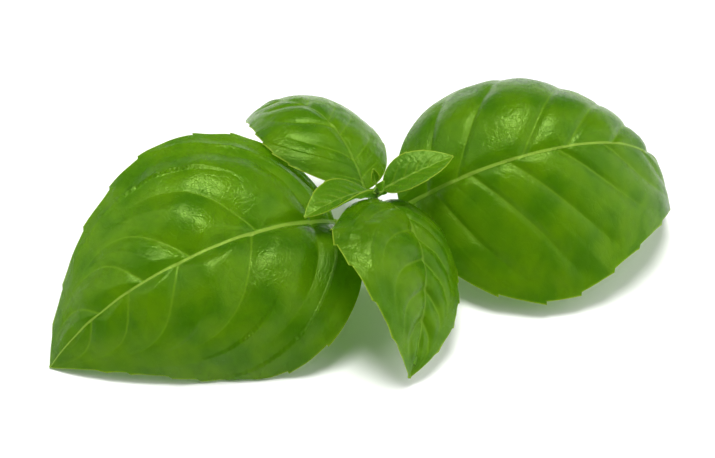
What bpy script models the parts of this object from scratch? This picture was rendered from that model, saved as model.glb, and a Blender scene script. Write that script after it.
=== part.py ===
"""Basil sprig: the cut tip of a sweet basil shoot, lying on its leaves.

A short square stem carries three opposite pairs of leaves, each pair turned
crosswise to the one below it, and two scale leaves round the growing tip.
Every leaf is one solid: a stalk, a raised rib on its underside and a thin blade
that arches over and curls down at its margins.

Metres and degrees, +Z up. The origin is below the middle of the whole sprig, on
the surface that it lies on. +X runs along the two large leaves.
"""

from dataclasses import dataclass
from math import cos, pi, radians, sin, sqrt, tan

import bmesh
import bpy
from mathutils import Matrix, Vector

# ---------------------------------------------------------------- stem
STUB_LENGTH = 0.0129        # from the cut end up to the large leaves' node
LARGE_TO_MIDDLE = 0.0066    # between the nodes of the large and middle leaves
MIDDLE_TO_SMALL = 0.0028    # between the nodes of the middle and small leaves
SMALL_TO_TIP = 0.0013       # from the small leaves' node to the growing tip
CUT_LEAN = 10.0             # from upright, at the cut end
STEM_LEAN = 22.0            # from upright, from the large leaves' node upwards
STEM_LEAN_BEARING = -57.0   # the side that the stem leans to, from +X
CUT_RADIUS = 0.0015         # half the stem's width across its flats, at each place
LARGE_NODE_RADIUS = 0.0016
MIDDLE_NODE_RADIUS = 0.0010
SMALL_NODE_RADIUS = 0.0007
TIP_RADIUS = 0.0004
NODE_SWELLING = 1.12        # a node against the stem between nodes
NECK_DEPTH = 0.0014         # how far below a node the swelling starts
NECK_SHARE = 0.4            # but no more than this share of the way to the node below
CORNER_ROUNDING = 0.45      # corner radius as a share of the half width
CORNER_STEPS = 2            # facets in each rounded corner

# ---------------------------------------------------------------- leaves
BLADE_THICKNESS = 0.0005
STALK_TO_STEM_GAP = 0.0003  # between a leaf stalk's end and the stem
TIP_WIDTH = 0.0005          # of the blade's blunt tip
BASE_HALF = 0.5             # up to this share of its length no blade is narrower than its stalk
RIB_NARROWING = 0.35        # rib thickness left at the tip, as a share of the stalk's

BROAD_OUTLINE = (0.60, 1.05)     # powers of an ovate outline, towards base and tip
OVATE_OUTLINE = (0.68, 0.97)


@dataclass
class Leaf:
    """A leaf. Left and right are seen from above, looking from its base to its tip."""

    bearing: float          # direction in which the stalk leaves the stem, from +X
    stalk: float            # length of the stalk
    stalk_rise: float       # how much higher the blade starts than the node
    stalk_width: float      # also its thickness
    length: float           # of the blade, along its midrib
    left: float             # greatest width of each half, along the surface
    right: float
    heading: float          # of the midrib at the base of the blade, from +X
    swing: float            # how far the heading turns by the tip
    pitch: float            # slope of the midrib at the base
    droop: float            # how far the slope falls by the tip
    droop_power: float      # above 1 the fall comes late, towards the tip
    roll: float             # of the blade about its midrib at the base
    twist: float            # further roll by the tip
    fold_left: float        # drop of each half beside the midrib, at the base
    fold_right: float
    unfold_left: float      # further drop of each half by the tip
    unfold_right: float
    curl_left: float        # further drop by each margin
    curl_right: float
    outline: tuple
    rows: int
    columns: int            # in each half


LARGE_LEFT = Leaf(
    bearing=216.0, stalk=0.0057, stalk_rise=0.0020, stalk_width=0.0018,
    length=0.0740, left=0.0305, right=0.0290,
    heading=223.0, swing=-36.0, pitch=34.0, droop=94.0, droop_power=1.0,
    roll=-11.0, twist=-5.0, fold_left=-20.0, fold_right=-27.0,
    unfold_left=53.0, unfold_right=19.0, curl_left=74.0, curl_right=42.0,
    outline=BROAD_OUTLINE, rows=26, columns=9,
)
LARGE_RIGHT = Leaf(
    bearing=15.0, stalk=0.0050, stalk_rise=0.0003, stalk_width=0.0018,
    length=0.0820, left=0.0325, right=0.0305,
    heading=-14.0, swing=67.0, pitch=41.0, droop=135.0, droop_power=1.5,
    roll=33.0, twist=-19.0, fold_left=-18.0, fold_right=12.0,
    unfold_left=17.0, unfold_right=13.0, curl_left=88.0, curl_right=17.0,
    outline=BROAD_OUTLINE, rows=28, columns=9,
)
MIDDLE_FRONT = Leaf(
    bearing=-47.0, stalk=0.0005, stalk_rise=0.0006, stalk_width=0.0010,
    length=0.0445, left=0.0135, right=0.0200,
    heading=-46.0, swing=-77.0, pitch=41.0, droop=99.0, droop_power=0.5,
    roll=-22.0, twist=-39.0, fold_left=-5.0, fold_right=-12.0,
    unfold_left=-9.0, unfold_right=-16.0, curl_left=44.0, curl_right=74.0,
    outline=BROAD_OUTLINE, rows=22, columns=8,
)
MIDDLE_BACK = Leaf(
    bearing=137.0, stalk=0.0003, stalk_rise=0.0008, stalk_width=0.0010,
    length=0.0445, left=0.0150, right=0.0135,
    heading=109.0, swing=51.0, pitch=37.0, droop=100.0, droop_power=1.4,
    roll=13.0, twist=-9.0, fold_left=-1.0, fold_right=3.0,
    unfold_left=0.0, unfold_right=0.0, curl_left=28.0, curl_right=37.0,
    outline=OVATE_OUTLINE, rows=20, columns=7,
)
SMALL_LEFT = Leaf(
    bearing=191.0, stalk=0.0002, stalk_rise=0.0003, stalk_width=0.0008,
    length=0.0170, left=0.0050, right=0.0050,
    heading=224.0, swing=-10.0, pitch=28.0, droop=41.0, droop_power=0.8,
    roll=5.0, twist=-14.0, fold_left=-14.0, fold_right=-11.0,
    unfold_left=0.0, unfold_right=0.0, curl_left=-46.0, curl_right=-5.0,
    outline=OVATE_OUTLINE, rows=12, columns=4,
)
SMALL_RIGHT = Leaf(
    bearing=12.0, stalk=0.0002, stalk_rise=0.0003, stalk_width=0.0008,
    length=0.0160, left=0.0050, right=0.0050,
    heading=7.0, swing=21.0, pitch=32.0, droop=27.0, droop_power=0.9,
    roll=15.0, twist=-13.0, fold_left=-20.0, fold_right=-13.0,
    unfold_left=0.0, unfold_right=0.0, curl_left=15.0, curl_right=-16.0,
    outline=OVATE_OUTLINE, rows=12, columns=4,
)
BUD_FRONT = Leaf(
    bearing=-65.0, stalk=0.0001, stalk_rise=0.0003, stalk_width=0.0005,
    length=0.0034, left=0.0011, right=0.0011,
    heading=-65.0, swing=0.0, pitch=48.0, droop=-34.0, droop_power=1.0,
    roll=0.0, twist=0.0, fold_left=-30.0, fold_right=-30.0,
    unfold_left=0.0, unfold_right=0.0, curl_left=-20.0, curl_right=-20.0,
    outline=OVATE_OUTLINE, rows=7, columns=3,
)
BUD_BACK = Leaf(
    bearing=115.0, stalk=0.0001, stalk_rise=0.0003, stalk_width=0.0005,
    length=0.0030, left=0.0010, right=0.0010,
    heading=115.0, swing=0.0, pitch=52.0, droop=-34.0, droop_power=1.0,
    roll=0.0, twist=0.0, fold_left=-30.0, fold_right=-30.0,
    unfold_left=0.0, unfold_right=0.0, curl_left=-20.0, curl_right=-20.0,
    outline=OVATE_OUTLINE, rows=7, columns=3,
)

STALK_ROWS = 4
LEAF_GREEN = (0.100, 0.282, 0.010)
LEAF_ROUGHNESS = 0.38
YOUNG_GREEN = (0.125, 0.310, 0.016)
YOUNG_ROUGHNESS = 0.42
STEM_GREEN = (0.190, 0.370, 0.050)
STEM_ROUGHNESS = 0.45


# ---------------------------------------------------------------- scene helpers
def clear_scene():
    for obj in list(bpy.data.objects):
        bpy.data.objects.remove(obj, do_unlink=True)


def new_collection(name):
    collection = bpy.data.collections.new(name)
    bpy.context.scene.collection.children.link(collection)
    return collection


def plant_material(name, colour, roughness):
    material = bpy.data.materials.new(name)
    material.use_nodes = True
    shader = material.node_tree.nodes["Principled BSDF"]
    shader.inputs["Base Color"].default_value = (*colour, 1.0)
    shader.inputs["Roughness"].default_value = roughness
    shader.inputs["Metallic"].default_value = 0.0
    return material


# ---------------------------------------------------------------- stem
def stem_point(distance):
    """A point on the stem's axis, so far up from the middle of the cut end.

    The lean grows evenly over the stub, which is an arc, and stays above it.
    """
    cut_lean = radians(CUT_LEAN)
    gain = radians(STEM_LEAN - CUT_LEAN) / STUB_LENGTH
    along_arc = min(distance, STUB_LENGTH)
    lean = cut_lean + gain * along_arc
    out = (cos(cut_lean) - cos(lean)) / gain
    up = (sin(lean) - sin(cut_lean)) / gain
    straight = max(distance - STUB_LENGTH, 0.0)
    out += straight * sin(lean)
    up += straight * cos(lean)
    bearing = radians(STEM_LEAN_BEARING)
    return Vector((out * cos(bearing), out * sin(bearing), up))


LARGE_NODE = STUB_LENGTH
MIDDLE_NODE = LARGE_NODE + LARGE_TO_MIDDLE
SMALL_NODE = MIDDLE_NODE + MIDDLE_TO_SMALL
STEM_END = SMALL_NODE + SMALL_TO_TIP


def stem_stations():
    """Distances up the axis with the stem's half width there: it swells at each node."""
    stations = [(0.0, CUT_RADIUS / NODE_SWELLING)]
    nodes = [
        (LARGE_NODE, LARGE_NODE_RADIUS),
        (MIDDLE_NODE, MIDDLE_NODE_RADIUS),
        (SMALL_NODE, SMALL_NODE_RADIUS),
    ]
    below = 0.0
    for place, radius in nodes:
        neck = place - min(NECK_DEPTH, (place - below) * NECK_SHARE)
        stations.append((neck, radius / NODE_SWELLING))
        stations.append((place, radius))
        below = place
    stations.append((STEM_END, TIP_RADIUS))
    return stations


def square_profile(guides):
    """The stem's section of one unit half width: a square with rounded corners."""
    curve = bpy.data.curves.new("stem_section", "CURVE")
    curve.dimensions = "2D"
    spline = curve.splines.new("POLY")
    corners = [(1, 1), (-1, 1), (-1, -1), (1, -1)]
    points = []
    for index, (across, up) in enumerate(corners):
        for step in range(CORNER_STEPS + 1):
            angle = pi / 2 * (index + step / CORNER_STEPS)
            x = across * (1 - CORNER_ROUNDING) + CORNER_ROUNDING * cos(angle)
            y = up * (1 - CORNER_ROUNDING) + CORNER_ROUNDING * sin(angle)
            points.append((x, y))
    spline.points.add(len(points) - 1)
    for point, (x, y) in zip(spline.points, reversed(points)):
        point.co = (x, y, 0.0, 1.0)
    spline.use_cyclic_u = True
    section = bpy.data.objects.new("stem_section", curve)
    section.hide_render = True
    section.display_type = "WIRE"
    guides.objects.link(section)
    return section


def make_stem(parts, guides, root):
    curve = bpy.data.curves.new("stem", "CURVE")
    curve.dimensions = "3D"
    spline = curve.splines.new("POLY")
    stations = stem_stations()
    spline.points.add(len(stations) - 1)
    for point, (distance, radius) in zip(spline.points, stations):
        point.co = (*stem_point(distance), 1.0)
        point.radius = radius
    curve.bevel_mode = "OBJECT"
    curve.bevel_object = square_profile(guides)
    curve.use_fill_caps = True
    stem = bpy.data.objects.new("stem", curve)
    stem.data.materials.append(plant_material("stem_green", STEM_GREEN, STEM_ROUGHNESS))
    parts.objects.link(stem)
    stem.parent = root
    return stem


# ---------------------------------------------------------------- leaves
def compass(bearing):
    return Vector((cos(radians(bearing)), sin(radians(bearing)), 0.0))


def outline_share(along, outline):
    """Half width of an ovate blade at a share of its length, against its widest."""
    base_power, tip_power = outline
    widest = base_power / (base_power + tip_power)
    greatest = widest ** base_power * (1 - widest) ** tip_power
    along = min(max(along, 0.0), 1.0)
    return along ** base_power * (1 - along) ** tip_power / greatest


def midrib_frames(leaf, base):
    """Points along the midrib, with the direction of travel and of the left side."""
    frames = []
    place = base.copy()
    step = leaf.length / leaf.rows
    ahead_before = None
    for row in range(leaf.rows + 1):
        along = row / leaf.rows
        slope = radians(leaf.pitch - leaf.droop * along ** leaf.droop_power)
        heading = leaf.heading + leaf.swing * along
        ahead = compass(heading) * cos(slope) + Vector((0.0, 0.0, sin(slope)))
        if ahead_before is not None:
            place = place + (ahead + ahead_before) * (step / 2)
        roll = radians(leaf.roll + leaf.twist * along)
        left = Matrix.Rotation(roll, 3, ahead) @ compass(heading + 90.0)
        frames.append((along, place, ahead, left))
        ahead_before = ahead
    return frames


def stalk_frames(leaf, start, base, first):
    """The stalk's upper side, from its end beside the stem to the base of the blade."""
    _, _, ahead, left = first
    pull = (base - start).length / 3
    out = start + compass(leaf.bearing) * pull
    back = base - ahead * pull
    frames = []
    for row in range(STALK_ROWS):
        t = row / STALK_ROWS
        place = (
            start * (1 - t) ** 3
            + out * (3 * t * (1 - t) ** 2)
            + back * (3 * t ** 2 * (1 - t))
            + base * t ** 3
        )
        side = compass(leaf.bearing + 90.0).lerp(left, t).normalized()
        frames.append((place, side))
    return frames


def cross_section(leaf, along, place, ahead, left):
    """Points from the left margin over the midrib to the right margin."""
    up = ahead.cross(left)
    share = outline_share(along, leaf.outline)
    halves = []
    for sign, width, fold, unfold, curl in (
        (1, leaf.left, leaf.fold_left, leaf.unfold_left, leaf.curl_left),
        (-1, leaf.right, leaf.fold_right, leaf.unfold_right, leaf.curl_right),
    ):
        reach = max(width * share, TIP_WIDTH / 2)
        if along < BASE_HALF:
            reach = max(reach, leaf.stalk_width / 2)
        step = reach / leaf.columns
        across = 0.0
        down = 0.0
        start = fold + unfold * along
        before = start
        points = []
        for column in range(1, leaf.columns + 1):
            angle = start + curl * share * column / leaf.columns
            across += step * (cos(radians(before)) + cos(radians(angle))) / 2
            down += step * (sin(radians(before)) + sin(radians(angle))) / 2
            before = angle
            points.append(place + left * (sign * across) - up * down)
        halves.append(points)
    return halves[0][::-1] + [place] + halves[1]


def stalk_start(leaf, node_radius):
    """How far from the stem's axis the stalk may begin, clear of the stem's corners.

    A stalk hangs below its node, where a stem that leans away from it comes closer.
    """
    corner = node_radius * (sqrt(2) * (1 - CORNER_ROUNDING) + CORNER_ROUNDING)
    away = max(-cos(radians(leaf.bearing - STEM_LEAN_BEARING)), 0.0)
    overhang = leaf.stalk_width * tan(radians(STEM_LEAN)) * away
    return corner + overhang + STALK_TO_STEM_GAP


def leaf_rows(leaf, node, node_radius):
    """Rows of points on the leaf's upper side, with the thickness under each point."""
    axis = stem_point(node)
    start = axis + compass(leaf.bearing) * stalk_start(leaf, node_radius)
    base = start + compass(leaf.bearing) * leaf.stalk + Vector((0.0, 0.0, leaf.stalk_rise))
    blade = midrib_frames(leaf, base)
    points = []
    thickness = []
    count = 2 * leaf.columns + 1
    for place, side in stalk_frames(leaf, start, base, blade[0]):
        half = leaf.stalk_width / 2
        spread = [1 - column / leaf.columns for column in range(count)]
        points.append([place + side * (half * share) for share in spread])
        thickness.append([leaf.stalk_width] * count)
    for along, place, ahead, left in blade:
        points.append(cross_section(leaf, along, place, ahead, left))
        rib = max(leaf.stalk_width * (1 - (1 - RIB_NARROWING) * along), BLADE_THICKNESS)
        row = [BLADE_THICKNESS] * count
        row[leaf.columns] = rib
        if along == 0.0:
            row = [leaf.stalk_width] * count
        thickness.append(row)
    return points, thickness


def make_leaf(name, leaf, node, node_radius, material, parts, root):
    """A grid laid over the leaf's upper side, thickened downwards into a solid."""
    points, thickness = leaf_rows(leaf, node, node_radius)
    row_count = len(points)
    column_count = len(points[0])
    mesh = bpy.data.meshes.new(name)
    grid = bmesh.new()
    weights = grid.verts.layers.deform.verify()
    bmesh.ops.create_grid(
        grid, x_segments=row_count - 1, y_segments=column_count - 1, size=0.5
    )
    places = {}
    for vert in grid.verts:
        row = round((vert.co.x + 0.5) * (row_count - 1))
        column = round((0.5 - vert.co.y) * (column_count - 1))
        places[vert] = (row, column)
    thickest = leaf.stalk_width
    for vert, (row, column) in places.items():
        vert.co = points[row][column]
        vert[weights][0] = thickness[row][column] / thickest
    for face in grid.faces:
        face.smooth = True
    grid.to_mesh(mesh)
    grid.free()
    blade = bpy.data.objects.new(name, mesh)
    blade.vertex_groups.new(name="thickness")
    solidify = blade.modifiers.new("thickness", "SOLIDIFY")
    solidify.thickness = thickest
    solidify.offset = -1.0
    solidify.vertex_group = "thickness"
    solidify.use_rim = True
    mesh.materials.append(material)
    parts.objects.link(blade)
    blade.parent = root
    return blade


# ---------------------------------------------------------------- assembly
def rest_on_origin(root, pieces):
    """Moves everything so that the whole box stands on the origin, centred above it."""
    bpy.context.view_layer.update()
    graph = bpy.context.evaluated_depsgraph_get()
    corners = []
    for piece in pieces:
        shape = piece.evaluated_get(graph)
        mesh = shape.to_mesh()
        corners += [shape.matrix_world @ vert.co for vert in mesh.vertices]
        shape.to_mesh_clear()
    low = Vector([min(corner[axis] for corner in corners) for axis in range(3)])
    high = Vector([max(corner[axis] for corner in corners) for axis in range(3)])
    root.location = (-(low.x + high.x) / 2, -(low.y + high.y) / 2, -low.z)
    bpy.context.view_layer.update()


def build():
    clear_scene()
    parts = new_collection("basil_sprig")
    guides = new_collection("guides")
    root = bpy.data.objects.new("sprig_root", None)
    parts.objects.link(root)
    mature = plant_material("leaf_green", LEAF_GREEN, LEAF_ROUGHNESS)
    young = plant_material("young_leaf_green", YOUNG_GREEN, YOUNG_ROUGHNESS)
    pieces = [make_stem(parts, guides, root)]
    leaves = [
        ("large_leaf_left", LARGE_LEFT, LARGE_NODE, LARGE_NODE_RADIUS, mature),
        ("large_leaf_right", LARGE_RIGHT, LARGE_NODE, LARGE_NODE_RADIUS, mature),
        ("middle_leaf_front", MIDDLE_FRONT, MIDDLE_NODE, MIDDLE_NODE_RADIUS, mature),
        ("middle_leaf_back", MIDDLE_BACK, MIDDLE_NODE, MIDDLE_NODE_RADIUS, mature),
        ("small_leaf_left", SMALL_LEFT, SMALL_NODE, SMALL_NODE_RADIUS, young),
        ("small_leaf_right", SMALL_RIGHT, SMALL_NODE, SMALL_NODE_RADIUS, young),
        ("bud_leaf_front", BUD_FRONT, STEM_END, TIP_RADIUS, young),
        ("bud_leaf_back", BUD_BACK, STEM_END, TIP_RADIUS, young),
    ]
    for name, leaf, node, radius, material in leaves:
        pieces.append(make_leaf(name, leaf, node, radius, material, parts, root))
    rest_on_origin(root, pieces)


build()
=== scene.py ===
"""A cut sprig of sweet basil, lying on its leaves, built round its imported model."""

from math import cos, pi, radians, sin, sqrt, tan

import bpy
import numpy as np
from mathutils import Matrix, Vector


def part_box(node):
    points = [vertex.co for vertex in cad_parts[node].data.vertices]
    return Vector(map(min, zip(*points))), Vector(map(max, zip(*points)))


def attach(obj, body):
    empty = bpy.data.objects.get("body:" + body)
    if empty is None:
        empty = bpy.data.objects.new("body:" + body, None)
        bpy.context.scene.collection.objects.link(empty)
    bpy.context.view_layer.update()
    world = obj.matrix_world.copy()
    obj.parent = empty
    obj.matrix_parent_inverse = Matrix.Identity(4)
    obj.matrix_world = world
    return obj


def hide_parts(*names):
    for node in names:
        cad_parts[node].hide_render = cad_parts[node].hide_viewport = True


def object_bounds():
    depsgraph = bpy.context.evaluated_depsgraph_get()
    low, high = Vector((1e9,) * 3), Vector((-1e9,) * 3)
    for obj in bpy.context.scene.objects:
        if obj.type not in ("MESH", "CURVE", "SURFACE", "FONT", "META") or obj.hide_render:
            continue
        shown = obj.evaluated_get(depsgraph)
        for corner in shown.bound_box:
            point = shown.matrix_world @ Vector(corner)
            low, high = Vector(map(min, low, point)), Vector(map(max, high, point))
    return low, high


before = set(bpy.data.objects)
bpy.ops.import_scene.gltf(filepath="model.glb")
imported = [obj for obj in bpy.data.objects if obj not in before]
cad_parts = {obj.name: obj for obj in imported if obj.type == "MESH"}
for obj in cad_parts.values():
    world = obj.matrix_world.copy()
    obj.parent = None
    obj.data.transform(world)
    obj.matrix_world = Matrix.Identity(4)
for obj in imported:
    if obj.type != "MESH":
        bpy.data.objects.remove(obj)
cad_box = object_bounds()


# ================================================================ table, lights and camera
# The sprig lies on a white table under large soft lights. The table and the lights are
# far larger than the sprig, so its shadows are short and pale.

class Wire:
    """One socket on its way through a material, used in sums like a number."""

    def __init__(self, skin, socket):
        self.skin = skin
        self.socket = socket

    def sum(self, operation, first, second=0.0):
        return self.skin.node("ShaderNodeMath", {"operation": operation}, {0: first, 1: second})

    def __add__(self, other):
        return self.sum("ADD", self, other)

    def __sub__(self, other):
        return self.sum("SUBTRACT", self, other)

    def __mul__(self, other):
        return self.sum("MULTIPLY", self, other)

    def __truediv__(self, other):
        return self.sum("DIVIDE", self, other)

    def __rsub__(self, other):
        return self.sum("SUBTRACT", other, self)

    def __rtruediv__(self, other):
        return self.sum("DIVIDE", other, self)

    __radd__ = __add__
    __rmul__ = __mul__

    def size(self):
        return self.sum("ABSOLUTE", self)

    def nearest(self):
        return self.sum("ROUND", self)

    def ease(self, start, end, low=0.0, high=1.0):
        """Goes smoothly from low to high while this goes from start to end."""
        settings = {"interpolation_type": "SMOOTHSTEP"}
        inputs = {"Value": self, "From Min": start, "From Max": end, "To Min": low, "To Max": high}
        return self.skin.node("ShaderNodeMapRange", settings, inputs)

    def blend(self, first, second):
        """The first colour where this is 0, the second where it is 1."""
        settings = {"data_type": "RGBA", "clamp_factor": True}
        return self.skin.node("ShaderNodeMix", settings, {0: self, 6: first, 7: second}, 2)


class Skin:
    """A material being made, with one way to add any node."""

    def __init__(self, name):
        self.material = bpy.data.materials.new(name)
        self.material.use_nodes = True
        self.tree = self.material.node_tree
        self.gloss = self.tree.nodes["Principled BSDF"]
        self.output = self.tree.nodes["Material Output"]

    def node(self, kind, settings, inputs, output=0):
        made = self.tree.nodes.new(kind)
        for name, value in settings.items():
            setattr(made, name, value)
        for place, value in inputs.items():
            self.feed(made.inputs[place], value)
        return Wire(self, made.outputs[output])

    def feed(self, socket, value):
        if isinstance(value, Wire):
            self.tree.links.new(value.socket, socket)
        elif isinstance(value, tuple) and len(value) < len(socket.default_value):
            socket.default_value = (*value, 1.0)
        else:
            socket.default_value = value


TABLE_WHITE = (0.93, 0.93, 0.92)
TABLE_SIDE = 6.0
TABLE_GRAIN = 60.0          # across the whole table
TABLE_ROUGH = (0.65, 0.75)
TABLE_SHINE = 0.1

bpy.ops.object.select_all(action="DESELECT")
bpy.ops.mesh.primitive_plane_add(size=TABLE_SIDE, location=(0.0, 0.0, cad_box[0][2]))
table = bpy.context.object
table.name = "table"
table_skin = Skin("white_table")
table_grain = table_skin.node("ShaderNodeTexNoise", {}, {"Scale": TABLE_GRAIN, "Detail": 2.0})
table_skin.feed(table_skin.gloss.inputs["Base Color"], TABLE_WHITE)
table_skin.feed(table_skin.gloss.inputs["Roughness"], table_grain.ease(0.2, 0.8, *TABLE_ROUGH))
table_skin.feed(table_skin.gloss.inputs["Specular IOR Level"], TABLE_SHINE)
table.data.materials.append(table_skin.material)


def wide_light(name, strength, softness, bearing, height):
    """Light from a broad patch of sky, softness degrees across, at a bearing and height."""
    lamp = bpy.data.lights.new(name, "SUN")
    lamp.energy = strength
    lamp.angle = radians(softness)
    holder = bpy.data.objects.new(name, lamp)
    holder.rotation_euler = (radians(90.0 - height), 0.0, radians(bearing + 90.0))
    bpy.context.scene.collection.objects.link(holder)


wide_light("light_overhead", strength=3.0, softness=28.0, bearing=100.0, height=86.0)
wide_light("light_left", strength=0.9, softness=50.0, bearing=178.0, height=42.0)
wide_light("light_right", strength=1.8, softness=70.0, bearing=-8.0, height=32.0)

HORIZON_LIGHT = 0.85        # the pale cove all round
CEILING_LIGHT = 0.12        # the dim room above it
COVE_TOP = 0.05             # sine of the height where the cove starts to dim
CEILING_START = 0.30        # and where it has become the ceiling
room = bpy.data.worlds.new("studio")
room.use_nodes = True
room_nodes = room.node_tree.nodes
room_links = room.node_tree.links
direction = room_nodes.new("ShaderNodeTexCoord")
parts = room_nodes.new("ShaderNodeSeparateXYZ")
fall = room_nodes.new("ShaderNodeMapRange")
fall.interpolation_type = "SMOOTHSTEP"
for place, value in (
    ("From Min", COVE_TOP), ("From Max", CEILING_START),
    ("To Min", HORIZON_LIGHT), ("To Max", CEILING_LIGHT),
):
    fall.inputs[place].default_value = value
room_links.new(direction.outputs["Generated"], parts.inputs[0])
room_links.new(parts.outputs["Z"], fall.inputs["Value"])
room_links.new(fall.outputs[0], room_nodes["Background"].inputs["Strength"])
room_nodes["Background"].inputs["Color"].default_value = (1.0, 1.0, 1.0, 1.0)
bpy.context.scene.world = room
bpy.context.scene.view_settings.view_transform = "Standard"

CAMERA_AIM = (-0.0028, 0.0004, 0.0120)
CAMERA_DISTANCE = 0.410
CAMERA_HEIGHT = 40.0        # degrees above the table
FOCAL_LENGTH = 100.0        # millimetres
SENSOR_WIDTH = 36.0
lens = bpy.data.cameras.new("camera")
lens.lens = FOCAL_LENGTH
lens.sensor_width = SENSOR_WIDTH
lens.clip_start = 0.01
camera = bpy.data.objects.new("camera", lens)
camera.location = (
    CAMERA_AIM[0],
    CAMERA_AIM[1] - CAMERA_DISTANCE * cos(radians(CAMERA_HEIGHT)),
    CAMERA_AIM[2] + CAMERA_DISTANCE * sin(radians(CAMERA_HEIGHT)),
)
camera.rotation_euler = (radians(90.0 - CAMERA_HEIGHT), 0.0, 0.0)
bpy.context.scene.collection.objects.link(camera)
bpy.context.scene.camera = camera


# ================================================================ stem
# A short piece of living stem: square, soft and pale green, with a shallow groove down
# each side and a swelling at each pair of leaves. It was cut straight across below.

STUB_LENGTH = 0.0129        # from the cut up to the large leaves
LARGE_TO_MIDDLE = 0.0066
MIDDLE_TO_SMALL = 0.0028
SMALL_TO_TIP = 0.0013
CUT_LEAN = 10.0             # from upright, at the cut
STEM_LEAN = 22.0            # from upright, from the large leaves up
LEAN_BEARING = -57.0
CUT_RADIUS = 0.0015         # half the width across the flats
LARGE_RADIUS = 0.0016
MIDDLE_RADIUS = 0.0010
SMALL_RADIUS = 0.0007
TIP_RADIUS = 0.0004
SWELLING = 1.12             # a node against the stem on either side of it
LARGE_NODE_RUN = 0.0014     # from the large node to where its swelling ends, either way
MIDDLE_NODE_RISE = 0.0012   # the same below and above the middle node
MIDDLE_NODE_FALL = 0.0008
SMALL_NODE_RISE = 0.0011
FLUTE_DEPTH = 0.10          # of the groove down each side, as a share of the radius
SQUARENESS = 5              # 2 would be round
ABOVE_LARGE_NODE = 1.15     # girth just above a node against the next node's
ABOVE_MIDDLE_NODE = 1.1
TIP_DOME = 0.8              # height of the rounded end against its radius
LARGE_NODE = STUB_LENGTH
MIDDLE_NODE = LARGE_NODE + LARGE_TO_MIDDLE
SMALL_NODE = MIDDLE_NODE + MIDDLE_TO_SMALL
STEM_END = SMALL_NODE + SMALL_TO_TIP


def stem_axis(distance):
    """A point so far up from the middle of the cut: an arc, then a straight run."""
    gain = radians(STEM_LEAN - CUT_LEAN) / STUB_LENGTH
    lean = radians(CUT_LEAN) + gain * min(distance, STUB_LENGTH)
    straight = max(distance - STUB_LENGTH, 0.0)
    out = (cos(radians(CUT_LEAN)) - cos(lean)) / gain + straight * sin(lean)
    up = (sin(lean) - sin(radians(CUT_LEAN))) / gain + straight * cos(lean)
    bearing = radians(LEAN_BEARING)
    return np.array([out * cos(bearing), out * sin(bearing), up])


def new_piece(name):
    """The mesh object that bpy.ops has just added, named, and alone in the selection."""
    piece = bpy.context.object
    piece.name = name
    piece.data.name = name
    return piece


def read_places(piece):
    places = np.zeros(len(piece.data.vertices) * 3)
    piece.data.vertices.foreach_get("co", places)
    return places.reshape(-1, 3)


def write_places(piece, places):
    piece.data.vertices.foreach_set("co", np.asarray(places, dtype=np.float32).ravel())
    piece.data.update()


def write_measure(piece, name, values):
    """Keeps one number for each vertex, which a material can read by its name."""
    measure = piece.data.attributes.new(name, "FLOAT", "POINT")
    measure.data.foreach_set("value", np.asarray(values, dtype=np.float32).ravel())


STEM_SIDES = 64
STEM_RINGS = 150
CUT_RINGS = 8               # rings that lie in the cut face
END_RINGS = 6               # rings that close the growing tip

bpy.ops.object.select_all(action="DESELECT")
bpy.ops.mesh.primitive_uv_sphere_add(segments=STEM_SIDES, ring_count=STEM_RINGS, radius=1.0)
stem = new_piece("basil_stem")
ball = read_places(stem)
ring = np.rint((np.arccos(np.clip(-ball[:, 2], -1.0, 1.0)) / pi) * STEM_RINGS)
turn = np.arctan2(ball[:, 1], ball[:, 0])
up_share = np.clip((ring - CUT_RINGS) / (STEM_RINGS - CUT_RINGS - END_RINGS), 0.0, 1.0)
closing = np.minimum(ring / CUT_RINGS, 1.0)
tip_closing = np.clip((STEM_RINGS - ring) / END_RINGS, 0.0, 1.0)
distance = up_share * STEM_END
girth_at = [
    0.0, LARGE_NODE - LARGE_NODE_RUN, LARGE_NODE, LARGE_NODE + LARGE_NODE_RUN,
    MIDDLE_NODE - MIDDLE_NODE_RISE, MIDDLE_NODE, MIDDLE_NODE + MIDDLE_NODE_FALL,
    SMALL_NODE - SMALL_NODE_RISE, SMALL_NODE, STEM_END,
]
girths = [
    CUT_RADIUS / SWELLING, LARGE_RADIUS / SWELLING, LARGE_RADIUS,
    MIDDLE_RADIUS * ABOVE_LARGE_NODE, MIDDLE_RADIUS / SWELLING, MIDDLE_RADIUS,
    SMALL_RADIUS * ABOVE_MIDDLE_NODE, SMALL_RADIUS / SWELLING, SMALL_RADIUS, TIP_RADIUS,
]
girth = np.interp(distance, girth_at, girths)
flat_sides = np.abs(np.cos(turn)) ** SQUARENESS + np.abs(np.sin(turn)) ** SQUARENESS
squareness = 1.0 / flat_sides ** (1.0 / SQUARENESS)
flute = 1.0 - FLUTE_DEPTH * np.abs(np.cos(2.0 * turn)) ** 3
rim = girth * squareness * flute * closing * np.sqrt(1.0 - (1.0 - tip_closing) ** 2)
tip_dome = (1.0 - tip_closing) * TIP_RADIUS * TIP_DOME
axis = np.array([stem_axis(d) for d in distance])
bearing = radians(LEAN_BEARING)
lean = np.radians(np.interp(distance, [0.0, STUB_LENGTH], [CUT_LEAN, STEM_LEAN]))
along_stem = np.stack(
    [np.sin(lean) * cos(bearing), np.sin(lean) * sin(bearing), np.cos(lean)], axis=1
)
sideways = np.cross(along_stem, [0.0, 1.0, 0.0])
sideways /= np.linalg.norm(sideways, axis=1)[:, None]
other_way = np.cross(along_stem, sideways)
turn_in = turn[:, None]
shape = axis + along_stem * tip_dome[:, None] + rim[:, None] * (
    sideways * np.cos(turn_in) + other_way * np.sin(turn_in)
)
low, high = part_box("stem")
cad_middle = (np.array(low) + np.array(high)) / 2
root = cad_middle - (shape.min(axis=0) + shape.max(axis=0)) / 2
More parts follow.
